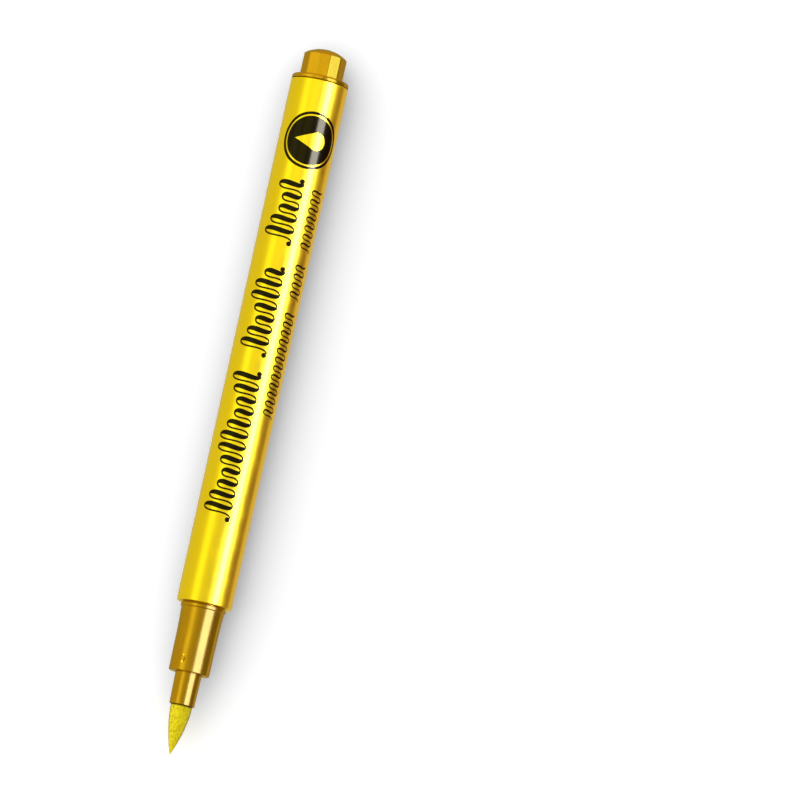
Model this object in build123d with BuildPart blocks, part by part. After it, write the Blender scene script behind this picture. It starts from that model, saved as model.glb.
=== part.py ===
from build123d import *

import os

# A valve-fed calligraphy brush marker, uncapped, lying along X.
# Units are millimetres. X runs along the pen's axis towards the tail, with x = 0 at the barrel's front
# shoulder, where a cap would stop. The brush points towards -X. Z is up. Radii are about the X axis.

# ---- driving dimensions
barrel_length = 104.4
barrel_radius = 5.5
bore_radius = 4.6
section_reach = 13.5        # grip section showing in front of the barrel
collar_reach = 6.3          # nib collar showing in front of the grip section
brush_reach = 9.7           # brush tip showing in front of the nib collar
pump_travel = 2.0           # how far the brush pushes in to open the valve

# fits
press_gap = 0.01            # pressed-in surfaces, modelled just clear of each other
slip_gap = 0.03             # parts that are pushed together
slide_gap = 0.05            # parts that slide
guide_gap = 0.1             # parts that slide loosely

# barrel
rim_round = 0.2
mouth_chamfer = 0.25
snap_depth = 0.12           # height of the snap beads and depth of their grooves
snap_play = 0.2             # how much wider a snap groove is than its bead
groove_sink = 0.1           # how far inside a bore a groove's cutter starts
section_snap_x = 6.0        # centre of the grip section's snap bead
section_snap_width = 1.2

# tail plug
flange_thickness = 1.0
flange_radius = barrel_radius - 0.05
flange_round = 0.4
knob_length = 4.45
knob_radius = 4.33          # over the corners
knob_sides = 12
dome_height = 1.45
dome_radius = (knob_radius**2 + dome_height**2) / (2 * dome_height)
spigot_length = 8.0
spigot_core_radius = 3.3
plug_wall = 1.3
seal_rib_width = 0.8
seal_rib_height = 2 * slip_gap - press_gap
spigot_rib_offsets = (2.4, 5.2)

# grip section
section_front_radius = 3.97
section_waist_radius = 4.05
section_flare_radius = 4.2
section_lip_radius = 4.4    # the lip that grips a cap, just in front of the barrel
section_lip_length = 0.85
section_lip_slope = 0.15    # length of the lip's sloped front
flare_length = 4.0
section_front_chamfer = 0.18
section_front_wall = 1.2
section_bore_radius = 3.25
section_tenon_length = 9.0
tenon_lead = 0.4            # lead-in chamfer at the tenon's end
tenon_radius = bore_radius - slip_gap
spigot_radius = tenon_radius - slip_gap
nub_x = -11.15
nub_length = 1.75
nub_width = 1.25
nub_height = 0.18
nub_sink = 0.2              # how deep a nub's root starts inside the section's wall
nub_taper = 25
nub_turns = (63.6, 243.6)   # degrees about X from +Y

# nib collar
collar_front_radius = 2.44
collar_root_radius = 2.58
collar_bore_radius = 2.15
collar_flange_thickness = 1.2
collar_tail_radius = 2.85
collar_tail_length = 2.8
collar_rim_round = 0.14
vent_inset = 1.0            # how far behind the collar's front the air grooves start
vent_width = 0.5
vent_depth = 0.12
vent_count = 3

# brush tip and its core
brush_radius = 2.10
brush_hidden = 0.8          # part of the brush held inside the collar
brush_point_radius = 0.07
brush_straight = 0.12 * brush_reach     # full-width stretch just in front of the collar
brush_taper = ((0.27, 0.485), (0.60, 0.840))    # (share of reach, share of radius), from the point
brush_point_slope = 0.48
core_radius = 2.0
core_pin_radius = 0.8
core_pin_length = 2.2
core_rear_x = 4.0
core_rear_chamfer = 0.2

# ink buffer
buffer_front_x = -7.4
buffer_rear_x = 1.2
buffer_split_width = 0.3

# valve
body_front_x = section_tenon_length
body_wall = 1.8
body_length = 13.6
body_rib_offsets = (3.0, 6.0, 9.0)
skirt_bore_radius = 3.5
valve_hole_radius = 1.45
gasket_thickness = 1.0
gasket_hole_radius = 1.6
stem_cup_front_x = 1.8
stem_cup_floor = 1.6
stem_cup_radius = 2.7
stem_rod_radius = 1.05
poppet_radius = 2.5
poppet_rim = 0.6            # straight part of the poppet's edge, before its rear cone
poppet_cone = 0.45
poppet_thickness = 1.6
stem_tail_radius = 0.85
stem_tail_chamfer = 0.3
tail_engagement = 0.6       # how far the stem's tail reaches into the retainer while the valve is shut
cup_slot_width = 0.8
cup_slot_count = 4
retainer_floor = 0.5
retainer_end_gap = 0.3      # room left behind the stem's tail when the valve is fully open
retainer_thickness = tail_engagement + pump_travel + retainer_end_gap + retainer_floor
retainer_snap_offset = 1.3  # from the retainer's front to its snap bead
retainer_snap_width = 0.6
port_radius = 0.55
port_circle_radius = 2.35
port_count = 4

# spring
wire_radius = 0.2
coil_radius = 1.6
coil_turns = 6.5

# mixing ball
ball_radius = 2.75
ball_gap = 0.02

# ---- stations along X
section_front_x = -section_reach
collar_front_x = section_front_x - collar_reach
brush_point_x = collar_front_x - brush_reach
brush_base_x = collar_front_x + brush_hidden
collar_flange_x = section_front_x + section_front_wall
collar_tail_x = collar_flange_x + collar_flange_thickness
collar_end_x = collar_tail_x + collar_tail_length
brush_shoulder_x = collar_front_x - brush_straight
core_pin_x = brush_base_x - core_pin_length
gasket_front_x = body_front_x + body_wall
poppet_front_x = gasket_front_x + gasket_thickness
spring_front_x = poppet_front_x + poppet_thickness
body_rear_x = body_front_x + body_length
retainer_front_x = body_rear_x - retainer_thickness
retainer_snap_x = retainer_front_x + retainer_snap_offset
stem_end_x = retainer_front_x + tail_engagement
spigot_front_x = barrel_length - spigot_length
flange_rear_x = barrel_length + flange_thickness
knob_end_x = flange_rear_x + knob_length
dome_x = knob_end_x + dome_height
ball_x = body_rear_x + ball_radius + slip_gap


def turn(*outline, mode=Mode.ADD):
    """Revolve a closed outline of (x, radius) points about the pen's axis."""
    with BuildSketch() as profile:
        with BuildLine():
            Polyline(*outline, close=True)
        make_face()
    revolve(profile.sketch, axis=Axis.X, mode=mode)


def ring(x, width, inner, outer, mode=Mode.ADD):
    """A plain ring centred on x, such as a rib, a bead or a groove."""
    turn(
        (x - width / 2, inner),
        (x - width / 2, outer),
        (x + width / 2, outer),
        (x + width / 2, inner),
        mode=mode,
    )


def bead(x, width, root, height):
    """A snap bead or sealing rib with sloped flanks, standing out from a surface of radius root."""
    turn(
        (x - width / 2, root - height),
        (x - width / 2, root),
        (x - width / 5, root + height),
        (x + width / 5, root + height),
        (x + width / 2, root),
        (x + width / 2, root - height),
    )


def groove(x, bead_width, bore):
    """The groove that a snap bead of bead_width clicks into, cut into a bore's wall."""
    ring(x, bead_width + snap_play, bore - groove_sink, bore + snap_depth, mode=Mode.SUBTRACT)


def round_edges(builder):
    """The full-circle edges of a turned piece."""
    return builder.edges().filter_by(GeomType.CIRCLE).filter_by(lambda edge: edge.is_closed)


def finish(builder, name):
    """Name a finished piece and write its STEP file."""
    builder.part.label = name
    export_step(builder.part, f"parts/{name}.step")


os.makedirs("parts", exist_ok=True)

# ---- barrel: a straight tube, open at both ends
with BuildPart() as barrel:
    with BuildSketch(Plane.YZ):
        Circle(barrel_radius)
        Circle(bore_radius, mode=Mode.SUBTRACT)
    extrude(amount=barrel_length)
    fillet(round_edges(barrel).group_by(SortBy.RADIUS)[-1], rim_round)
    chamfer(round_edges(barrel).group_by(SortBy.RADIUS)[0], mouth_chamfer)
    groove(section_snap_x, section_snap_width, bore_radius)
finish(barrel, "barrel")

# ---- tail plug: hollow spigot, flange, faceted knob
with BuildPart() as tail_plug:
    with BuildSketch(Plane.YZ.offset(flange_rear_x)):
        RegularPolygon(knob_radius, knob_sides, rotation=180 / knob_sides)
    extrude(amount=knob_length + dome_height)
    with Locations((dome_x - dome_radius, 0, 0)):  # the end is a cap of this ball
        Sphere(dome_radius, mode=Mode.INTERSECT)
    with BuildSketch(Plane.YZ.offset(barrel_length)):
        Circle(flange_radius)
    extrude(amount=flange_thickness)
    fillet(round_edges(tail_plug).group_by(SortBy.RADIUS)[-1].sort_by(Axis.X)[-1], flange_round)
    with BuildSketch(Plane.YZ.offset(spigot_front_x)):
        Circle(spigot_radius)
    extrude(amount=spigot_length)
    chamfer(round_edges(tail_plug).sort_by(Axis.X)[0], mouth_chamfer)
    for offset_x in spigot_rib_offsets:
        bead(spigot_front_x + offset_x, seal_rib_width, spigot_radius, seal_rib_height)
    with BuildSketch(Plane.YZ.offset(spigot_front_x)):
        Circle(spigot_core_radius)
    extrude(amount=knob_end_x - plug_wall - spigot_front_x, mode=Mode.SUBTRACT)
finish(tail_plug, "tail_plug")

# ---- grip section: moulded sleeve, pressed into the barrel
with BuildPart() as grip_section:
    with BuildSketch():
        with BuildLine():
            front = Polyline(
                (section_front_x + section_front_wall, section_bore_radius),
                (section_front_x + section_front_wall, collar_root_radius + slide_gap),
                (section_front_x, collar_root_radius + slide_gap),
                (section_front_x, section_front_radius - section_front_chamfer),
                (section_front_x + section_front_chamfer, section_front_radius),
                (-section_lip_length - flare_length, section_waist_radius),
            )
            flare_end = (-section_lip_length - section_lip_slope, section_flare_radius)
            flare = TangentArc(front @ 1, flare_end, tangent=front % 1)
            Polyline(
                flare @ 1,
                (-section_lip_length, section_lip_radius),
                (slide_gap, section_lip_radius),
                (mouth_chamfer, tenon_radius),
                (section_tenon_length - tenon_lead, tenon_radius),
                (section_tenon_length, tenon_radius - tenon_lead),
                (section_tenon_length, section_bore_radius),
                front @ 0,
            )
        make_face()
    revolve(axis=Axis.X)
    bead(section_snap_x, section_snap_width, tenon_radius, snap_depth)
    for nub_turn in nub_turns:
        across = Plane.YZ.rotated((nub_turn, 0, 0)).x_dir
        at_nub = Plane(
            origin=Vector(nub_x, 0, 0) + across * (section_front_radius - nub_sink),
            x_dir=(1, 0, 0),
            z_dir=across,
        )
        with BuildSketch(at_nub):
            SlotOverall(nub_length, nub_width)
        extrude(amount=nub_sink + nub_height, taper=nub_taper)
finish(grip_section, "grip_section")

# ---- nib collar: the nose that guides the brush
with BuildPart() as nib_collar:
    turn(
        (collar_front_x, collar_bore_radius),
        (collar_front_x, collar_front_radius),
        (section_front_x, collar_root_radius),
        (collar_flange_x, collar_root_radius),
        (collar_flange_x, section_bore_radius - slip_gap),
        (collar_tail_x, section_bore_radius - slip_gap),
        (collar_tail_x, collar_tail_radius),
        (collar_end_x, collar_tail_radius),
        (collar_end_x, collar_bore_radius),
    )
    fillet(round_edges(nib_collar).group_by(Axis.X)[0].sort_by(SortBy.RADIUS)[-1], collar_rim_round)
    with BuildSketch(Plane.YZ.offset(collar_front_x + vent_inset)):
        with PolarLocations(collar_bore_radius, vent_count, start_angle=90):
            Rectangle(2 * vent_depth, vent_width)
    extrude(amount=collar_end_x - collar_front_x, mode=Mode.SUBTRACT)
finish(nib_collar, "nib_collar")

# ---- brush tip: soft porous cone with a blind socket
with BuildPart() as brush_tip:
    taper = [(brush_point_x + reach * brush_reach, width * brush_radius) for reach, width in brush_taper]
    with BuildSketch():
        with BuildLine():
            side = Spline(
                (brush_point_x + brush_point_radius, brush_point_radius),
                *taper,
                (brush_shoulder_x, brush_radius),
                tangents=((1, brush_point_slope), (1, 0)),
            )
            tip = TangentArc((brush_point_x, 0), side @ 0, tangent=(0, 1))
            Polyline(
                side @ 1,
                (brush_base_x, brush_radius),
                (brush_base_x, core_pin_radius + press_gap),
                (core_pin_x - slide_gap, core_pin_radius + press_gap),
                (core_pin_x - slide_gap, 0),
                tip @ 0,
            )
        make_face()
    revolve(axis=Axis.X)
finish(brush_tip, "brush_tip")

# ---- nib core: stiff fibre rod that feeds and pushes
with BuildPart() as nib_core:
    turn(
        (core_pin_x, 0),
        (core_pin_x, core_pin_radius),
        (brush_base_x + press_gap, core_pin_radius),
        (brush_base_x + press_gap, core_radius),
        (core_rear_x, core_radius),
        (core_rear_x, 0),
    )
    chamfer(round_edges(nib_core).sort_by(Axis.X)[-1], core_rear_chamfer)
finish(nib_core, "nib_core")

# ---- ink buffer: split felt sleeve around the core
with BuildPart() as ink_buffer:
    with BuildSketch(Plane.YZ.offset(buffer_front_x)):
        Circle(section_bore_radius - slip_gap)
        Circle(core_radius + guide_gap, mode=Mode.SUBTRACT)
        with Locations((0, (section_bore_radius + core_radius) / 2)):
            Rectangle(buffer_split_width, section_bore_radius, mode=Mode.SUBTRACT)
    extrude(amount=buffer_rear_x - buffer_front_x)
finish(ink_buffer, "ink_buffer")

# ---- valve body: cup pressed into the bore behind the section
with BuildPart() as valve_body:
    turn(
        (body_front_x + slip_gap, valve_hole_radius),
        (body_front_x + slip_gap, spigot_radius - mouth_chamfer),
        (body_front_x + slip_gap + mouth_chamfer, spigot_radius),
        (body_rear_x, spigot_radius),
        (body_rear_x, skirt_bore_radius),
        (gasket_front_x, skirt_bore_radius),
        (gasket_front_x, valve_hole_radius),
    )
    for offset_x in body_rib_offsets:
        bead(body_front_x + offset_x, seal_rib_width, spigot_radius, seal_rib_height)
    groove(retainer_snap_x, retainer_snap_width, skirt_bore_radius)
finish(valve_body, "valve_body")

# ---- valve gasket: the soft seat
with BuildPart() as valve_gasket:
    ring(
        gasket_front_x + gasket_thickness / 2,
        gasket_thickness,
        gasket_hole_radius,
        skirt_bore_radius - slide_gap,
    )
finish(valve_gasket, "valve_gasket")

# ---- valve stem: cup for the core, rod, poppet, spring guide
with BuildPart() as valve_stem:
    turn(
        (core_rear_x, 0),
        (core_rear_x, core_radius + press_gap),
        (stem_cup_front_x, core_radius + press_gap),
        (stem_cup_front_x, stem_cup_radius),
        (core_rear_x + stem_cup_floor, stem_cup_radius),
        (core_rear_x + stem_cup_floor, stem_rod_radius),
        (poppet_front_x, stem_rod_radius),
        (poppet_front_x, poppet_radius),
        (poppet_front_x + poppet_rim, poppet_radius),
        (spring_front_x, poppet_radius - poppet_cone),
        (spring_front_x, stem_tail_radius),
        (stem_end_x - stem_tail_chamfer, stem_tail_radius),
        (stem_end_x, stem_tail_radius - stem_tail_chamfer),
        (stem_end_x, 0),
    )
    with BuildSketch(Plane.YZ.offset(stem_cup_front_x)):
        with PolarLocations((core_radius + stem_cup_radius) / 2, cup_slot_count, start_angle=45):
            Rectangle(2 * (stem_cup_radius - core_radius), cup_slot_width)
    extrude(amount=core_rear_x - stem_cup_front_x, mode=Mode.SUBTRACT)
finish(valve_stem, "valve_stem")

# ---- valve spring: steel wire coil
with BuildPart() as valve_spring:
    coil_start_x = spring_front_x + wire_radius + press_gap
    coil_length = retainer_front_x - spring_front_x - 2 * (wire_radius + press_gap)
    with BuildLine():
        coil = Helix(
            pitch=coil_length / coil_turns,
            height=coil_length,
            radius=coil_radius,
            center=(coil_start_x, 0, 0),
            direction=(1, 0, 0),
        )
    with BuildSketch(Plane(origin=coil @ 0, z_dir=coil % 0)):
        Circle(wire_radius)
    sweep(path=coil, is_frenet=True)
finish(valve_spring, "valve_spring")

# ---- valve retainer: ported plug that backs the spring
with BuildPart() as valve_retainer:
    with BuildSketch(Plane.YZ.offset(retainer_front_x)):
        Circle(skirt_bore_radius - slip_gap)
        with PolarLocations(port_circle_radius, port_count, start_angle=45):
            Circle(port_radius, mode=Mode.SUBTRACT)
    extrude(amount=retainer_thickness)
    with BuildSketch(Plane.YZ.offset(retainer_front_x)):
        Circle(stem_tail_radius + guide_gap)
    extrude(amount=retainer_thickness - retainer_floor, mode=Mode.SUBTRACT)
    bead(retainer_snap_x, retainer_snap_width, skirt_bore_radius - slip_gap, snap_depth)
finish(valve_retainer, "valve_retainer")

# ---- mixing ball: lies on the bottom of the ink chamber
with BuildPart() as mixing_ball:
    with Locations((ball_x, 0, ball_radius - bore_radius + ball_gap)):
        Sphere(ball_radius)
finish(mixing_ball, "mixing_ball")
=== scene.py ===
"""A calligraphy brush marker: finished meshes, materials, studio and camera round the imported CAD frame.

Outlines are in millimetres, as (x, radius): x runs along the pen's axis towards the tail, from the barrel's
front shoulder. Angles round the axis are measured from straight up (+Z) towards -Y.
"""

import math

import bmesh
import bpy
from mathutils import Matrix, Vector, noise


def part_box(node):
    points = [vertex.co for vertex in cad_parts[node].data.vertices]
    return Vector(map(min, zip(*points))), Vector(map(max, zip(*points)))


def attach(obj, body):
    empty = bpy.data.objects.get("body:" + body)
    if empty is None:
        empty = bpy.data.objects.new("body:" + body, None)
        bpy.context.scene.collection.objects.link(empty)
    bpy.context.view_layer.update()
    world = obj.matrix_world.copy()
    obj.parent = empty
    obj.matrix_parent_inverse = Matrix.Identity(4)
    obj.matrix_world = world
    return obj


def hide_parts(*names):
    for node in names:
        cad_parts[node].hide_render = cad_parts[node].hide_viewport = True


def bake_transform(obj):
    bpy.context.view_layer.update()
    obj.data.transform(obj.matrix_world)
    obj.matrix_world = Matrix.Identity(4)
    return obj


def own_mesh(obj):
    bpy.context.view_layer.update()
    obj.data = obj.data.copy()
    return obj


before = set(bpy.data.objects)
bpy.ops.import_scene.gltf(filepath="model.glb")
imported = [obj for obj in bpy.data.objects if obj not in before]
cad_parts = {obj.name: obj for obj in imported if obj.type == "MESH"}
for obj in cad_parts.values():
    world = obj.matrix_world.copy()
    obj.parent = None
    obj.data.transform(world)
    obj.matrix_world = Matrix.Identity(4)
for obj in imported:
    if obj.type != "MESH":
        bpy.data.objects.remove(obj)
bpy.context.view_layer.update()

MM = 0.001
SEGMENTS = 192
SHARP_ANGLE = math.radians(40)
ALONG = Vector((1, 0, 0))


# ---------------------------------------------------------------- places, from the frame
def span(node):
    """First x, last x and outer radius of a CAD node, in millimetres."""
    low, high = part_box(node)
    return low.x / MM, high.x / MM, (high.y - low.y) / 2 / MM


BARREL_FRONT, BARREL_END, BARREL_R = span("barrel")
PLUG_FRONT, DOME_END, _ = span("tail_plug")
SECTION_FRONT, TENON_END, _ = span("grip_section")
COLLAR_FRONT, COLLAR_END, COLLAR_FLANGE_R = span("nib_collar")
BRUSH_POINT, BRUSH_BASE, BRUSH_R = span("brush_tip")
CORE_FRONT, _, _ = span("nib_core")
SPRING_FRONT, SPRING_REAR, SPRING_R = span("valve_spring")

BORE_R = 4.6
BORE_CHAMFER = 0.25
TENON_R = BORE_R - 0.03
SPIGOT_R = BORE_R - 0.06
BEAD_X, BEAD_HEIGHT = 6.0, 0.12
SECTION_STEP = 1.2
BARREL_FRONT_R, BARREL_END_R = BARREL_R - 0.12, BARREL_R + 0.14
FLOOR_Z = -BARREL_END_R * MM


# ---------------------------------------------------------------- mesh tools
def soften(outline, steps=5):
    """An outline of (x, radius, rounding) corners, with each rounded corner turned into an arc."""
    points = []
    for i, (x, r, rounding) in enumerate(outline):
        corner = Vector((x, r))
        if not rounding:
            points.append(corner)
            continue
        before = (Vector(outline[i - 1][:2]) - corner).normalized()
        after = (Vector(outline[(i + 1) % len(outline)][:2]) - corner).normalized()
        half_angle = before.angle(after) / 2
        centre = corner + (before + after).normalized() * rounding / math.sin(half_angle)
        start = corner + before * rounding / math.tan(half_angle) - centre
        end = corner + after * rounding / math.tan(half_angle) - centre
        sweep = start.angle_signed(end)
        for step in range(steps + 1):
            turn = Matrix.Rotation(-sweep * step / steps, 2)
            points.append(centre + turn @ start)
    return points


def shell(rings, loop=False):
    """Points and faces over rings. loop joins the last ring to the first. Otherwise both ends close."""
    count = len(rings[0])
    last = len(rings) - 1
    points = [Vector(p) for ring in rings for p in ring]
    faces = []
    for a in range(len(rings) if loop else last):
        b = (a + 1) % len(rings)
        for i in range(count):
            j = (i + 1) % count
            faces.append((a * count + i, a * count + j, b * count + j, b * count + i))
    if not loop:
        for end in (0, last):
            pole = len(points)
            points.append(sum((Vector(p) for p in rings[end]), Vector()) / count)
            for i in range(count):
                faces.append((end * count + i, end * count + (i + 1) % count, pole))
    return points, faces


def build(name, *shells):
    """One smooth object from closed shells, in millimetres, with every face turned outwards."""
    points, faces = [], []
    for shell_points, shell_faces in shells:
        start = len(points)
        points += [p * MM for p in shell_points]
        faces += [tuple(start + i for i in face) for face in shell_faces]
    mesh = bpy.data.meshes.new(name)
    mesh.from_pydata(points, [], faces)
    bm = bmesh.new()
    bm.from_mesh(mesh)
    bmesh.ops.recalc_face_normals(bm, faces=bm.faces)
    bm.to_mesh(mesh)
    bm.free()
    mesh.shade_smooth()
    mesh.set_sharp_from_angle(angle=SHARP_ANGLE)
    piece = bpy.data.objects.new(name, mesh)
    bpy.context.scene.collection.objects.link(piece)
    return piece


def around_axis(x, radius, angle):
    """The point at this x, radius and angle."""
    return (x, -radius * math.sin(angle), radius * math.cos(angle))


def circle(x, radius, angles):
    """A round ring of points about the pen's axis."""
    return [around_axis(x, radius, angle) for angle in angles]


def even_angles(count=SEGMENTS):
    """Angles spread evenly over a full turn."""
    return [2 * math.pi * i / count for i in range(count)]


def weigh_normals(piece):
    """Make flat faces shade flat beside small roundings."""
    piece.modifiers.new("weighted_normals", "WEIGHTED_NORMAL").keep_sharp = True


def lathe(name, outline, steps=5):
    """A turned hollow piece from a closed outline of (x, radius, rounding)."""
    angles = even_angles()
    rings = [circle(p.x, p.y, angles) for p in soften(outline, steps)]
    piece = build(name, shell(rings, loop=True))
    weigh_normals(piece)
    return piece


# ---------------------------------------------------------------- node tools and materials
# The Mix node's sockets for colours, by place, because its sockets for other data types have the same names.
MIX_FACTOR, MIX_A, MIX_B = 0, 6, 7
MIX_RESULT = 2


class Nodes:
    """A node tree, with short calls for the nodes used here."""

    def __init__(self, tree):
        self.tree = tree

    def give(self, target, value):
        """Link or set an input. A colour may leave out its alpha."""
        if isinstance(value, bpy.types.NodeSocket):
            self.tree.links.new(value, target)
        elif target.type == "RGBA" and len(value) == 3:
            target.default_value = (*value, 1)
        else:
            target.default_value = value

    def node(self, kind, inputs=None, **settings):
        """A new node, with its inputs' values or links and its settings."""
        made = self.tree.nodes.new("ShaderNode" + kind)
        for key, value in settings.items():
            setattr(made, key, value)
        for key, value in (inputs or {}).items():
            self.give(made.inputs[key], value)
        return made

    def maths(self, operation, *values):
        """The result of a Math node."""
        return self.node("Math", dict(enumerate(values)), operation=operation).outputs["Value"]

    def ramp(self, factor, *stops, interpolation="LINEAR"):
        """A colour ramp from (position, colour) stops."""
        made = self.node("ValToRGB", {"Fac": factor})
        made.color_ramp.interpolation = interpolation
        elements = made.color_ramp.elements
        while len(elements) < len(stops):
            elements.new(0.5)
        for element, (position, colour) in zip(elements, stops):
            element.position = position
            element.color = (*colour, 1)
        return made.outputs["Color"]

    def band(self, factor, low, high, at_low=0.0, at_high=1.0, **settings):
        """The factor's range from low to high, spread over at_low to at_high."""
        inputs = {"Value": factor, "From Min": low, "From Max": high, "To Min": at_low, "To Max": at_high}
        return self.node("MapRange", inputs, clamp=True, **settings).outputs["Result"]

    def mix(self, factor, a, b):
        """Colour a where the factor is 0 and colour b where it is 1."""
        made = self.node("Mix", {MIX_FACTOR: factor, MIX_A: a, MIX_B: b}, data_type="RGBA")
        return made.outputs[MIX_RESULT]


class Surface(Nodes):
    """A material's node tree, round its Principled shader."""

    def __init__(self, name, **principled):
        self.material = bpy.data.materials.new(name)
        self.material.use_nodes = True
        super().__init__(self.material.node_tree)
        self.shader = self.tree.nodes["Principled BSDF"]
        self.coords = self.node("TexCoord").outputs["Object"]
        for socket, value in principled.items():
            self.set(socket.replace("_", " "), value)

    def set(self, socket, value):
        """Give one of the Principled shader's inputs a value or a link."""
        self.give(self.shader.inputs[socket], value)

    def stretched(self, scale):
        """Object coordinates, scaled along each axis."""
        return self.node("Mapping", {"Vector": self.coords, "Scale": scale}).outputs["Vector"]

    def noise(self, size_mm, detail=2, vector=None, rough=0.5):
        """Noise whose features are about size_mm across."""
        scale = 1 / (size_mm * MM)
        inputs = {"Vector": vector or self.coords, "Scale": scale, "Detail": detail, "Roughness": rough}
        return self.node("TexNoise", inputs).outputs["Fac"]

    def cells(self, size_mm, output="Distance", vector=None):
        """Voronoi cells about size_mm across."""
        inputs = {"Vector": vector or self.coords, "Scale": 1 / (size_mm * MM)}
        return self.node("TexVoronoi", inputs).outputs[output]

    def cell_levels(self, size_mm, channel):
        """One level from 0 to 1 for each cell, about size_mm across, from a channel of its random colour."""
        return self.node("SeparateColor", {"Color": self.cells(size_mm, "Color")}).outputs[channel]

    def bump(self, height, distance_mm, strength=1.0):
        """Raise the surface by height times distance_mm."""
        inputs = {"Height": height, "Distance": distance_mm * MM, "Strength": strength}
        self.set("Normal", self.node("Bump", inputs).outputs["Normal"])


def gold_lacquer():
    """Bright gold metallic lacquer with fine pearl flakes and faint draw lines along the tube."""
    m = Surface("gold_lacquer", Metallic=1.0, Coat_Weight=1.0, Coat_Roughness=0.31, Coat_IOR=1.5)
    flakes = m.cell_levels(0.09, "Red")
    m.set("Base Color", m.mix(flakes, (0.98, 0.70, 0.002), (1.0, 0.76, 0.008)))
    m.set("Roughness", m.band(m.noise(3.0, 3), 0.3, 0.7, 0.27, 0.33))
    draw_lines = m.noise(0.35, 3, m.stretched((0.02, 1, 1)))
    m.bump(draw_lines, 0.002, 0.5)
    return m.material


def gold_plastic():
    """Darker gold pearl plastic, injection moulded, with flow clouds and a satin grain."""
    m = Surface("gold_plastic", Metallic=1.0, Coat_Weight=0.7, Coat_Roughness=0.2, Coat_IOR=1.6)
    m.set("Specular Tint", (0.48, 0.5, 0.12))
    flow = m.noise(1.4, 4, m.stretched((0.35, 1, 1)))
    m.set("Base Color", m.ramp(flow, (0.3, (0.53, 0.265, 0.001)), (0.7, (0.59, 0.305, 0.003))))
    m.set("Roughness", m.band(m.noise(0.5, 3), 0.3, 0.7, 0.19, 0.26))
    m.bump(m.noise(0.45, 3), 0.012, 0.35)
    return m.material


def print_ink():
    """Glossy black screen print under a thin clear film."""
    m = Surface("print_ink", Specular_IOR_Level=0.0, Coat_Weight=1.0, Coat_Roughness=0.16, Coat_IOR=1.25)
    m.set("Base Color", (0.005, 0.002, 0.001))
    m.set("Roughness", m.band(m.noise(0.4, 3), 0.3, 0.7, 0.35, 0.5))
    m.bump(m.noise(0.08, 2), 0.0015, 0.4)
    return m.material


def brush_felt():
    """Felt soaked in metallic ink: bright yellow gold with glittering flakes and dark pores, with painted
    shade along its outline and a painted shadow next to the collar.
    """
    m = Surface("brush_felt", Sheen_Weight=0.05, Specular_IOR_Level=0.12)
    pores = m.cells(0.30, "Distance", m.stretched((0.55, 1, 1)))
    specks = m.noise(0.15, 4, m.stretched((0.6, 1, 1)), 0.75)
    colour = m.ramp(
        specks,
        (0.33, (0.42, 0.33, 0.003)),
        (0.45, (0.59, 0.47, 0.004)),
        (0.55, (0.75, 0.63, 0.008)),
        (0.72, (0.90, 0.82, 0.025)),
    )
    pored = m.mix(m.band(pores, 0.60, 0.85), colour, (0.42, 0.33, 0.004))
    # Painted shade: the felt's colour darkens where its surface turns away from the camera, along its
    # outline.
    facing = m.node("LayerWeight", {"Blend": 0.5}).outputs["Facing"]
    painted_edge_shade = m.mix(m.band(facing, 0.4, 0.8, 0.0, 0.85), pored, (0.20, 0.14, 0.01))
    along = m.node("SeparateXYZ", {"Vector": m.coords}).outputs["X"]
    # Painted shadow: the felt turns dark brown in the last fraction of a millimetre before the collar, where
    # the gap between the parts lies in shade.
    painted_collar_shadow = m.band(along, (COLLAR_FRONT - 0.34) * MM, (COLLAR_FRONT - 0.14) * MM)
    m.set("Base Color", m.mix(painted_collar_shadow, painted_edge_shade, (0.09, 0.05, 0.002)))
    glitter = m.cell_levels(0.10, "Green")
    m.set("Metallic", m.band(glitter, 0.6, 0.9, 0.0, 0.6))
    m.set("Roughness", m.band(glitter, 0.55, 0.95, 0.8, 0.4))
    m.bump(glitter, 0.03, 0.5)
    return m.material


def stained_fibre(name, dry, wet, fibre_mm):
    """Bonded fibres running along the pen, stained unevenly by gold ink."""
    m = Surface(name, Sheen_Weight=0.3, Specular_IOR_Level=0.2, Roughness=0.9)
    fibres = m.noise(fibre_mm, 4, m.stretched((0.06, 1, 1)), 0.7)
    stain = m.noise(2.5, 3)
    fibre_colour = m.ramp(fibres, (0.35, tuple(0.6 * c for c in dry)), (0.65, dry))
    m.set("Base Color", m.mix(m.band(stain, 0.4, 0.65, 0.15, 0.9), fibre_colour, wet))
    m.bump(fibres, 0.05, 0.7)
    return m.material


def valve_plastic():
    """Natural white acetal, slightly waxy."""
    m = Surface("valve_plastic", Subsurface_Weight=0.15, Subsurface_Scale=0.0006)
    m.set("Base Color", m.ramp(m.noise(1.2, 3), (0.35, (0.83, 0.82, 0.76)), (0.65, (0.90, 0.89, 0.85))))
    m.set("Roughness", m.band(m.noise(0.5, 3), 0.3, 0.7, 0.32, 0.46))
    m.bump(m.noise(0.15, 2), 0.003, 0.5)
    return m.material


def gasket_rubber():
    """Matt black moulded rubber with a trace of talc."""
    m = Surface("gasket_rubber", Specular_IOR_Level=0.3)
    talc = m.noise(0.3, 4, rough=0.7)
    m.set("Base Color", m.ramp(talc, (0.55, (0.014, 0.014, 0.015)), (0.75, (0.06, 0.06, 0.062))))
    m.set("Roughness", m.band(talc, 0.4, 0.7, 0.62, 0.85))
    m.bump(m.noise(0.1, 3), 0.006, 0.6)
    return m.material


def steel(name, rough_low, rough_high, grain_mm):
    """Stainless steel whose polish is given by its roughness range and the size of its grain."""
    m = Surface(name, Metallic=1.0)
    grain = m.noise(grain_mm, 3, rough=0.65)
    m.set("Base Color", m.ramp(grain, (0.35, (0.60, 0.59, 0.57)), (0.65, (0.72, 0.71, 0.69))))
    m.set("Roughness", m.band(grain, 0.3, 0.7, rough_low, rough_high))
    m.bump(grain, 0.001, 0.4)
    return m.material


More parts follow.
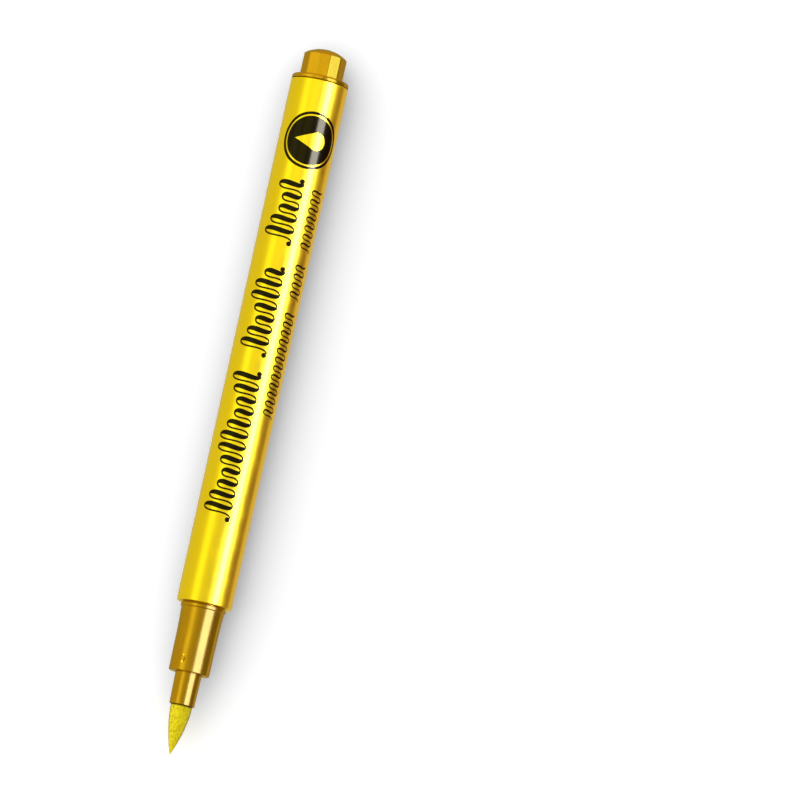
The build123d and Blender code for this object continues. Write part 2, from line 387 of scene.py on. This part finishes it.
# ---------------------------------------------------------------- outer pieces
def barrel_r(x):
    """Outer radius of the barrel, which widens very slightly towards the tail."""
    return BARREL_FRONT_R + (BARREL_END_R - BARREL_FRONT_R) * (x - BARREL_FRONT) / (BARREL_END - BARREL_FRONT)


def barrel():
    """The long tube, with its rounded rims, chamfered mouths and the groove the grip section snaps into."""
    x0, x1 = BARREL_FRONT, BARREL_END
    rim, edge = 0.2, 0.05
    groove_front, groove_rear = x0 + BEAD_X - 0.7, x0 + BEAD_X + 0.7
    groove_r = BORE_R + BEAD_HEIGHT
    outline = [
        (x0, BORE_R + BORE_CHAMFER, edge),
        (x0, BARREL_FRONT_R, rim),
        (x1, BARREL_END_R, rim),
        (x1, BORE_R + BORE_CHAMFER, edge),
        (x1 - BORE_CHAMFER, BORE_R, edge),
        (groove_rear, BORE_R, 0),
        (groove_rear, groove_r, 0),
        (groove_front, groove_r, 0),
        (groove_front, BORE_R, 0),
        (x0 + BORE_CHAMFER, BORE_R, edge),
    ]
    return lathe("barrel_tube", outline)


def polygon_radius(corner_r, sides, rounding):
    """Radius by angle of a regular polygon with rounded corners, one flat facing straight up."""
    half = math.pi / sides
    apothem = corner_r * math.cos(half)
    arc_centre = corner_r - rounding / math.cos(half)
    flat_ends = math.atan((apothem - rounding) * math.tan(half) / apothem)

    def radius(angle):
        off = (angle + half) % (2 * half) - half
        if abs(off) <= flat_ends:
            return apothem / math.cos(off)
        from_corner = half - abs(off)
        across = arc_centre * math.sin(from_corner)
        return arc_centre * math.cos(from_corner) + math.sqrt(rounding**2 - across**2)

    return radius


def spigot_outline(flange_r, flange_end, knob_corner_r):
    """The plug's outline from its hollow, round the ribbed spigot and over the flange to the knob."""
    hollow_end, hollow_r = DOME_END - 2.8, 3.3
    rib_height = 0.05
    slot_x, slot_floor_r = BARREL_END + 0.12, 5.0
    outline = [
        (hollow_end, 0.4, 0),
        (hollow_end, hollow_r, 0.3),
        (PLUG_FRONT, hollow_r, 0.2),
        (PLUG_FRONT, SPIGOT_R, 0.25),
    ]
    for rib in (PLUG_FRONT + 2.4, PLUG_FRONT + 5.2):
        outline += [
            (rib - 0.4, SPIGOT_R, 0),
            (rib - 0.16, SPIGOT_R + rib_height, 0),
            (rib + 0.16, SPIGOT_R + rib_height, 0),
            (rib + 0.4, SPIGOT_R, 0),
        ]
    return outline + [
        (BARREL_END, SPIGOT_R, 0),
        (BARREL_END, slot_floor_r - 0.05, 0),
        (slot_x, slot_floor_r, 0),
        (slot_x, flange_r, 0.08),
        (flange_end, flange_r, 0.4),
        (flange_end, knob_corner_r + 0.2, 0),
    ]


def tail_plug():
    """The ribbed hollow spigot, the flange on the barrel's end and the 12-sided knob with its domed end."""
    sides, parts_per_side = 12, 18
    knob_corner_r, dome_height = 4.33, 1.45
    fillet, edge, edge_rise = 0.12, 0.16, 0.04
    fillet_steps, edge_steps = 5, 6
    dome_r = (knob_corner_r**2 + dome_height**2) / (2 * dome_height)
    flange_r, flange_end = BARREL_END_R - 0.04, BARREL_END + 1.0
    knob_front = flange_end + fillet
    knob_r = polygon_radius(knob_corner_r, sides, 0.3)
    angles = even_angles(sides * parts_per_side)

    def dome_x(rho):
        return DOME_END - dome_r + math.sqrt(dome_r**2 - rho**2)

    def knob_ring(x, radius):
        """A ring whose x and radius are functions of the knob's own radius at each angle."""
        return [around_axis(x(knob_r(angle)), radius(knob_r(angle)), angle) for angle in angles]

    outline = spigot_outline(flange_r, flange_end, knob_corner_r)
    rings = [circle(p.x, p.y, angles) for p in soften(outline)]
    for step in range(1, fillet_steps + 1):
        bend = math.pi / 2 * step / fillet_steps
        lift = fillet * (1 - math.cos(bend))
        spread = fillet * (1 - math.sin(bend))
        rings.append(knob_ring(lambda r: flange_end + lift, lambda r: r + spread))
    for share in (0.02, 0.5, 0.98):
        rings.append(knob_ring(lambda r: knob_front + (dome_x(r) - edge - knob_front) * share, lambda r: r))
    for step in range(1, edge_steps + 1):
        bend = math.pi / 2 * step / edge_steps
        inset = edge * (1 - math.cos(bend))
        drop = edge * (1 - math.sin(bend)) - edge_rise * step / edge_steps
        rings.append(knob_ring(lambda r: dome_x(r) - drop, lambda r: r - inset))
    for share in (0.93, 0.85, 0.75, 0.62, 0.48, 0.34, 0.2, 0.08):
        rings.append(knob_ring(lambda r: dome_x((r - edge) * share), lambda r: (r - edge) * share))
    piece = build("tail_plug_moulding", shell(rings))
    weigh_normals(piece)
    return piece


def grip_section():
    """The moulded sleeve: grip, flare and cap lip outside, and the tenon and snap bead inside the barrel."""
    x0, shoulder = SECTION_FRONT, BARREL_FRONT
    lip_front, lip_rear = shoulder - 0.85, shoulder - 0.28
    front_r, waist_r, flare_r, lip_r = 3.97, 4.05, 4.2, 4.40
    groove_r = lip_r - 0.3
    bead, bead_r = shoulder + BEAD_X, TENON_R + BEAD_HEIGHT
    tenon_bore_r, mouth_r = 3.25, 2.63
    outline = [
        (x0, mouth_r + 0.2, 0),
        (x0, front_r, 0.2),
        (lip_front - 4.0, waist_r, 12.0),
        (lip_front - 0.15, flare_r, 0.06),
        (lip_front, lip_r, 0.07),
        (lip_rear, lip_r, 0.05),
        (lip_rear + 0.08, groove_r, 0.03),
        (shoulder + 0.04, groove_r, 0),
        (shoulder + BORE_CHAMFER, TENON_R, 0.05),
        (bead - 0.6, TENON_R, 0),
        (bead - 0.24, bead_r, 0),
        (bead + 0.24, bead_r, 0),
        (bead + 0.6, TENON_R, 0),
        (TENON_END - 0.4, TENON_R, 0.1),
        (TENON_END, TENON_R - 0.4, 0.05),
        (TENON_END, tenon_bore_r, 0.05),
        (x0 + SECTION_STEP, tenon_bore_r, 0.05),
        (x0 + SECTION_STEP, mouth_r, 0.05),
        (x0 + 0.3, mouth_r, 0),
    ]
    return lathe("grip_section_moulding", outline, steps=6)


def nib_collar():
    """The tapering nose that guides the brush, with its flange and sleeve inside the grip section."""
    x0, x1 = COLLAR_FRONT, COLLAR_END
    flange_front = SECTION_FRONT + SECTION_STEP
    flange_rear = flange_front + 1.2
    guide_r, front_r, neck_r, sleeve_r = 2.15, 2.44, 2.58, 2.85
    outline = [
        (x0, guide_r + 0.13, 0),
        (x0, front_r, 0.08),
        (SECTION_FRONT, neck_r, 0),
        (flange_front, neck_r, 0.03),
        (flange_front, COLLAR_FLANGE_R, 0.1),
        (flange_rear, COLLAR_FLANGE_R, 0.1),
        (flange_rear, sleeve_r, 0.1),
        (x1, sleeve_r, 0.15),
        (x1, guide_r, 0.1),
        (x0 + 0.25, guide_r, 0),
    ]
    return lathe("nib_collar_moulding", outline)


def brush_profile(share):
    """Radius of the brush, as a share of its base radius, at a share of its reach from the point."""
    blunt, fullness = 0.035, 1.8
    neck_depth, neck_length = 0.04, 0.07
    neck = neck_depth * max(0.0, (share - 1 + neck_length) / neck_length) ** 2
    return blunt + (1 - blunt) * (1 - (1 - share) ** fullness) - neck


def felt_grain(x, radius, angle):
    """Height of the felt's rough surface at a place on the brush, from a coarse and a fine noise."""
    lengthwise = 0.6
    coarse, coarse_height = 4.5, 0.022
    fine, fine_height = 11.0, 0.012
    place = Vector(around_axis(x * lengthwise, radius, angle))
    return noise.noise(place * coarse) * coarse_height + noise.noise(place * fine) * fine_height


def brush():
    """The soft pointed brush: a felt cone whose surface is rough with pores, leaning a little to one side."""
    reach = COLLAR_FRONT - BRUSH_POINT
    lean, highest_grain = 0.2, 0.04
    smooth_point, smooth_root = 0.05, 0.08
    socket_r, base_edge = 0.81, 0.05
    stations, crowding = 220, 1.15
    angles = even_angles()
    rings = []
    for k in range(1, stations + 1):
        share = (k / stations) ** crowding
        x = BRUSH_POINT + share * reach
        r = BRUSH_R * brush_profile(share)
        calm = min(1.0, (1 - share) / smooth_root, share / smooth_point)
        aside = Vector((0, lean * (1 - share) ** 2, 0))
        ring = []
        for angle in angles:
            rough_r = r + min(felt_grain(x, r, angle) * calm, highest_grain)
            ring.append(Vector(around_axis(x, rough_r, angle)) + aside)
        rings.append(ring)
    rings.append(circle(BRUSH_BASE - base_edge, BRUSH_R, angles))
    rings.append(circle(BRUSH_BASE, BRUSH_R - base_edge, angles))
    rings.append(circle(BRUSH_BASE, socket_r, angles))
    rings.append(circle(CORE_FRONT - 0.05, socket_r, angles))
    return build("brush_felt_tip", shell(rings))


def grip_nubs():
    """Two low oval bumps on opposite sides of the grip, near its front.

    Each ring has a spread, which is a share of the bump's reach, and a depth that it sinks into the grip.
    """
    x, half_length, half_width, height = SECTION_FRONT + 2.35, 0.9, 0.65, 0.12
    surface_r = 3.99
    first_turn = math.radians(-26.4)
    foot = [(1.08, 0.15), (1.08, 0.012)]
    crown_rings = 20
    crown = [(1 - step / crown_rings, 0) for step in range(crown_rings)]
    shells = []
    for turn in (first_turn, first_turn + math.pi):
        rings = []
        for spread, sink in foot + crown:
            r = surface_r + height * (1 - min(spread, 1) ** 4) ** 2 - sink
            ring = []
            for angle in even_angles(40):
                swing = math.sin(angle) * half_width * spread / surface_r
                ring.append(around_axis(x + math.cos(angle) * half_length * spread, r, turn + swing))
            rings.append(ring)
        shells.append(shell(rings))
    return build("grip_nubs", *shells)


def spring():
    """The valve spring: drawn wire wound in an even coil, with its last turn at each end closed up flat."""
    wire_r, turns, closed_turns = 0.2, 6.5, 0.9
    coil_r = SPRING_R - wire_r
    first, last = SPRING_FRONT + wire_r, SPRING_REAR - wire_r
    closed_pitch = 2.1 * wire_r
    closed_rise = closed_pitch * closed_turns
    stations, sides = 520, 14
    rings = []

    def height(turn):
        """Rise of the wire along the pen after this many turns."""
        if turn < closed_turns:
            return closed_rise * turn / closed_turns
        if turn > turns - closed_turns:
            return last - first - closed_rise * (turns - turn) / closed_turns
        share = (turn - closed_turns) / (turns - 2 * closed_turns)
        return closed_rise + share * (last - first - 2 * closed_rise)

    for k in range(stations + 1):
        turn = turns * k / stations
        angle = 2 * math.pi * turn
        centre = Vector((first + height(turn), coil_r * math.cos(angle), coil_r * math.sin(angle)))
        outwards = Vector((0, math.cos(angle), math.sin(angle)))
        ring = []
        for side in even_angles(sides):
            ring.append(centre + (outwards * math.cos(side) + ALONG * math.sin(side)) * wire_r)
        rings.append(ring)
    return build("valve_spring_coil", shell(rings))


def ball():
    """The smooth steel mixing ball."""
    low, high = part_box("mixing_ball")
    centre = (low + high) / 2 / MM
    radius = (high.x - low.x) / 2 / MM
    bands, segments = 64, 96
    rings = []
    for k in range(1, bands):
        tilt = math.pi * k / bands
        ring = circle(-radius * math.cos(tilt), radius * math.sin(tilt), even_angles(segments))
        rings.append([centre + Vector(p) for p in ring])
    return build("mixing_ball_steel", shell(rings))


# ---------------------------------------------------------------- print
def film(rows, loop=False):
    """A thin shell of ink wrapped on the barrel. rows are rows of (x, v) points across the printed line.

    v is measured round the barrel in millimetres from the top, positive towards +Y.
    """
    proud, sunk = 0.012, 0.02
    rings = []
    for row in rows:
        ring = [around_axis(x, barrel_r(x) + proud, -v / BARREL_R) for x, v in row]
        ring += [around_axis(x, barrel_r(x) - sunk, -v / BARREL_R) for x, v in reversed(row)]
        rings.append(ring)
    return shell(rings, loop)


def pen_line(path, widths):
    """A film along a path of (x, v) points. widths are the line's widths at each of them."""
    across = (-0.5, -0.25, 0.0, 0.25, 0.5)
    rows = []
    for k, (here, width) in enumerate(zip(path, widths)):
        before = Vector(path[max(k - 1, 0)])
        after = Vector(path[min(k + 1, len(path) - 1)])
        along = (after - before).normalized()
        side = Vector((-along.y, along.x)) * width
        rows.append([Vector(here) + side * share for share in across])
    return film(rows)


def dot(x, v, radius):
    """A round dot of ink, with a pinhole at its centre so that its rows stay separate there."""
    centre = Vector((x, v))
    rows = []
    for angle in even_angles(40):
        direction = Vector((math.cos(angle), math.sin(angle)))
        rows.append([centre + direction * radius * share for share in (0.02, 0.5, 1.0)])
    return film(rows, loop=True)


def practice_wave(x, tops, period, base, stroke, hairline):
    """Running pen strokes from x, one for each height in tops: thick going down, a hairline going up."""
    samples = 72
    slant, swell, pressure_curve = 0.10, 0.12 * period, 0.8
    path = []
    widths = []
    for k in range(samples * len(tops) + 1):
        turn = 2 * math.pi * k / samples
        top = tops[min(k // samples, len(tops) - 1)]
        rise = (top - base) * (0.5 - 0.5 * math.cos(turn))
        path.append((x + period * k / samples + slant * rise + swell * math.sin(2 * turn), base + rise))
        falling = max(0.0, -math.sin(turn))
        widths.append(hairline + (stroke - hairline) * falling**pressure_curve)
    return pen_line(path, widths)


def flourish():
    """The large printed line: three groups of pen strokes that swell and shrink, with dots at their ends."""
    base, middle, swell, period = -1.37, 3.3, 1.2, 2.35
    dot_r, dot_away, dot_rise = 0.5, 0.35, 0.42
    shells = []
    for x, count, beat in ((16.9, 12, 5.6), (49.6, 7, 4.3), (71.9, 5, 5.2)):
        tops = [middle + swell * math.cos(2 * math.pi * k / beat) for k in range(count)]
        shells.append(practice_wave(x, tops, period, base, stroke=1.0, hairline=0.34))
        for dot_x in (x - dot_away, x + period * count + dot_away):
            shells.append(dot(dot_x, base + dot_rise, dot_r))
    return build("printed_flourish", *shells)


def fine_line():
    """The small printed line beside the flourish: an even fine wave in three groups."""
    base, top, period = -6.2, -3.45, 1.75
    shells = []
    for x, peaks in ((37.6, 12), (61.2, 4), (70.9, 7)):
        shells.append(practice_wave(x, (top,) * peaks, period, base, stroke=0.4, hairline=0.26))
    return build("printed_fine_line", *shells)


def emblem():
    """A round black emblem near the tail: a ring and a disc with an ink drop left bare in it.

    The drop is a round bulb with two straight sides that touch it and meet at the drop's point.
    """
    centre = Vector((92.3, -0.85))
    ring_outer_r, ring_inner_r, disc_r = 5.7, 5.15, 4.85
    bulb = centre + Vector((0, -1.1))
    bulb_r, point_distance = 1.75, 4.3
    tangent = math.acos(bulb_r / point_distance)
    steps = 12

    def across(inside, outside):
        return [inside.lerp(outside, step / steps) for step in range(steps + 1)]

    disc, ring = [], []
    for angle in even_angles(160):
        direction = Vector((math.sin(angle), math.cos(angle)))
        off = min(angle, 2 * math.pi - angle)
        drop_r = bulb_r / math.cos(tangent - off) if off < tangent else bulb_r
        disc.append(across(bulb + direction * drop_r, centre + direction * disc_r))
        ring.append(across(centre + direction * ring_inner_r, centre + direction * ring_outer_r))
    return build("printed_emblem", film(disc, loop=True), film(ring, loop=True))


# ---------------------------------------------------------------- build and dress
def dress(piece, material, slot, body, *stands_for):
    """Finish a rigid piece: its material, its body, and the CAD nodes it stands for. slot is not used."""
    piece.data.materials.append(material)
    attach(piece, body)
    if stands_for:
        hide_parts(*stands_for)
    return piece


def paint(node, material):
    """Give a CAD node that keeps its own shape its finished material."""
    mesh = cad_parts[node].data
    mesh.materials.clear()
    mesh.materials.append(material)


LACQUER = gold_lacquer()
PLASTIC = gold_plastic()
INK = print_ink()
FELT = brush_felt()

TUBE_PIECES = [dress(barrel(), LACQUER, "gold_lacquer", "pen", "barrel")]
INK_PIECES = [
    dress(flourish(), INK, "print_ink", "pen"),
    dress(fine_line(), INK, "print_ink", "pen"),
    dress(emblem(), INK, "print_ink", "pen"),
]
KNOB_PIECES = [dress(tail_plug(), PLASTIC, "gold_plastic", "pen", "tail_plug")]
SECTION_PIECES = [
    dress(grip_section(), PLASTIC, "gold_plastic", "pen", "grip_section"),
    dress(nib_collar(), PLASTIC, "gold_plastic", "pen", "nib_collar"),
]
MOULDED_PIECES = KNOB_PIECES + SECTION_PIECES
NUBS = [dress(grip_nubs(), PLASTIC, "gold_plastic", "pen")]
ball_steel = steel("ball_steel", rough_low=0.08, rough_high=0.16, grain_mm=0.6)
dress(ball(), ball_steel, "ball_steel", "ball", "mixing_ball")

spring_steel = steel("spring_steel", rough_low=0.22, rough_high=0.34, grain_mm=0.08)
coil = dress(spring(), spring_steel, "spring_steel", "pen", "valve_spring")
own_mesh(coil)

tip = brush()
tip.data.materials.append(FELT)
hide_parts("brush_tip")
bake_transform(tip)

ACETAL = valve_plastic()
paint("valve_body", ACETAL)
paint("valve_stem", ACETAL)
paint("valve_retainer", ACETAL)
paint("valve_gasket", gasket_rubber())
core_fibre = stained_fibre("core_fibre", dry=(0.78, 0.60, 0.22), wet=(0.66, 0.46, 0.02), fibre_mm=0.12)
paint("nib_core", core_fibre)
buffer_felt = stained_fibre("buffer_felt", dry=(0.84, 0.76, 0.52), wet=(0.70, 0.50, 0.04), fibre_mm=0.2)
paint("ink_buffer", buffer_felt)


# ---------------------------------------------------------------- studio
WHITE, SOFT, PALE = (1, 1, 1), (1.0, 0.95, 0.78), (0.62, 1.0, 0.8)
COOL, WARM, OLIVE = (0.24, 0.36, 1.0), (1.0, 0.98, 0.12), (0.5, 1.0, 0.05)


def floor():
    """A matt white sheet under the pen, which the pen's metal doesn't reflect."""
    mesh = bpy.data.meshes.new("floor")
    half = 3.0
    corners = [(-half, -half), (half, -half), (half, half), (-half, half)]
    mesh.from_pydata([(x, y, FLOOR_Z) for x, y in corners], [], [(0, 1, 2, 3)])
    plane = bpy.data.objects.new("floor", mesh)
    bpy.context.scene.collection.objects.link(plane)
    paper = Surface("floor_paper", Base_Color=(0.93, 0.93, 0.93), Roughness=0.9, Specular_IOR_Level=0.0)
    mesh.materials.append(paper.material)
    plane.visible_glossy = False


def softbox(name, colour, angle, distance, x, size, level):
    """A rectangular light that faces the pen's axis, at this x and at an angle round the axis in degrees.

    size is its length along the pen and its width across it, in metres. level is its brightness.
    """
    length, width = size
    light = bpy.data.lights.new(name, "AREA")
    light.shape = "RECTANGLE"
    light.size = length
    light.size_y = width
    light.energy = level * math.pi * length * width
    light.color = colour
    lamp = bpy.data.objects.new(name, light)
    out = Vector(around_axis(0, 1, math.radians(angle)))
    facing = Matrix((ALONG, out.cross(ALONG), out)).transposed().to_4x4()
    lamp.matrix_world = Matrix.Translation(ALONG * x + out * distance) @ facing
    bpy.context.scene.collection.objects.link(lamp)
    return lamp


def reflected_light(name, colour, pieces, angle, x, size, level):
    """A light that shows only as a reflection, and only in these pieces if any are given."""
    distance = 0.5
    lamp = softbox(name, colour, angle, distance, x, size, level)
    lamp.visible_diffuse = False
    if pieces:
        lit = bpy.data.collections.new(name + "_lit")
        for piece in pieces:
            lit.objects.link(piece)
        lamp.light_linking.receiver_collection = lit


def ring_of_walls(w, x, y, z):
    """Soft coloured walls all round the pen's axis, and one beyond each end of the pen."""
    whole_turn = 360
    walls = [
        (-180, (0.62, 0.52, 0.16)),
        (-152, (0.66, 0.58, 0.16)),
        (-112, (0.70, 0.66, 0.09)),
        (-66, (0.72, 0.67, 0.08)),
        (-50, (1.26, 1.36, 0.24)),
        (-40, (1.26, 1.36, 0.24)),
        (-24, (0.68, 0.66, 0.08)),
        (2, (0.49, 0.47, 0.05)),
        (68, (0.43, 0.36, 0.03)),
        (86, (0.17, 0.065, 0.0)),
        (108, (0.17, 0.065, 0.0)),
        (126, (0.74, 0.54, 0.22)),
        (150, (0.60, 0.48, 0.20)),
        (180, (0.62, 0.52, 0.16)),
    ]
    beyond_tip, beyond_tail = (0.40, 0.28, 0.03), (1.05, 0.78, 0.06)
    end_starts, end_full = 0.45, 0.95
    angle = w.maths("ARCTAN2", w.maths("MULTIPLY", y, -1), z)
    stops = [(degrees / whole_turn + 0.5, colour) for degrees, colour in walls]
    sides = w.ramp(w.band(angle, -math.pi, math.pi), *stops, interpolation="EASE")
    near_end = w.band(w.maths("ABSOLUTE", x), end_starts, end_full, interpolation_type="SMOOTHSTEP")
    return w.mix(near_end, sides, w.mix(x, beyond_tip, beyond_tail))


def studio_world():
    """Coloured walls for the metal to reflect, and plain ones, brighter towards +Y, for everything else."""
    dim_side, bright_side = 0.70, 1.56
    world = bpy.data.worlds.new("studio")
    bpy.context.scene.world = world
    world.use_nodes = True
    w = Nodes(world.node_tree)
    direction = w.node("TexCoord").outputs["Generated"]
    x, y, z = w.node("SeparateXYZ", {"Vector": direction}).outputs
    is_reflection = w.node("LightPath").outputs["Is Glossy Ray"]
    plain = w.band(y, -1, 1, dim_side, bright_side)
    colour = w.mix(is_reflection, plain, ring_of_walls(w, x, y, z))
    w.give(world.node_tree.nodes["Background"].inputs["Color"], colour)


def camera():
    """Looks down on the lying pen through a long lens, a little towards the tip, and rolled a little."""
    distance, tilt, roll = 1.400, math.radians(7.9), math.radians(12.37)
    aim = Vector((47.2 * MM, -28.44 * MM, 0))
    forward = Vector((math.sin(tilt), 0, -math.cos(tilt)))
    along = Vector((math.cos(tilt), 0, math.sin(tilt)))
    beside = Vector((0, -1, 0))
    up = along * math.cos(roll) - beside * math.sin(roll)
    right = along * math.sin(roll) + beside * math.cos(roll)
    data = bpy.data.cameras.new("camera")
    data.sensor_width = 36
    data.lens = 325.4
    data.clip_start = 0.01
    data.clip_end = 20
    cam = bpy.data.objects.new("camera", data)
    facing = Matrix((right, up, -forward)).transposed().to_4x4()
    cam.matrix_world = Matrix.Translation(aim - forward * distance) @ facing
    bpy.context.scene.collection.objects.link(cam)
    bpy.context.scene.camera = cam


floor()
studio_world()
reflected_light("tube_strip", WHITE, TUBE_PIECES, angle=45, x=0.12, size=(0.6, 0.19), level=16.5)
reflected_light("ink_strip", SOFT, INK_PIECES, angle=44, x=0.12, size=(0.6, 0.27), level=31)
reflected_light("section_strip", COOL, SECTION_PIECES, angle=41.5, x=0, size=(0.6, 0.40), level=7.2)
reflected_light("knob_strip", PALE, KNOB_PIECES, angle=45, x=0.12, size=(0.6, 0.34), level=2.4)
reflected_light("side_box", OLIVE, MOULDED_PIECES, angle=108, x=0.12, size=(0.6, 0.48), level=0.17)
reflected_light("knob_box", WARM, MOULDED_PIECES, angle=-64, x=0.24, size=(0.20, 0.24), level=0.45)
reflected_light("nub_front_glint", WARM, NUBS, angle=-50, x=-0.26, size=(0.26, 0.34), level=2.6)
reflected_light("nub_rear_glint", WARM, NUBS, angle=-50, x=0.41, size=(0.26, 0.34), level=3.4)
reflected_light("tail_box", WARM, None, angle=-8, x=0.24, size=(0.20, 0.26), level=0.8)
fill_light = softbox("fill", WHITE, angle=-35, distance=1.2, x=0.05, size=(1.4, 1.4), level=0.5)
fill_light.visible_glossy = False
camera()
bpy.context.scene.view_settings.view_transform = "Standard"
bpy.context.scene.cycles.caustics_reflective = False
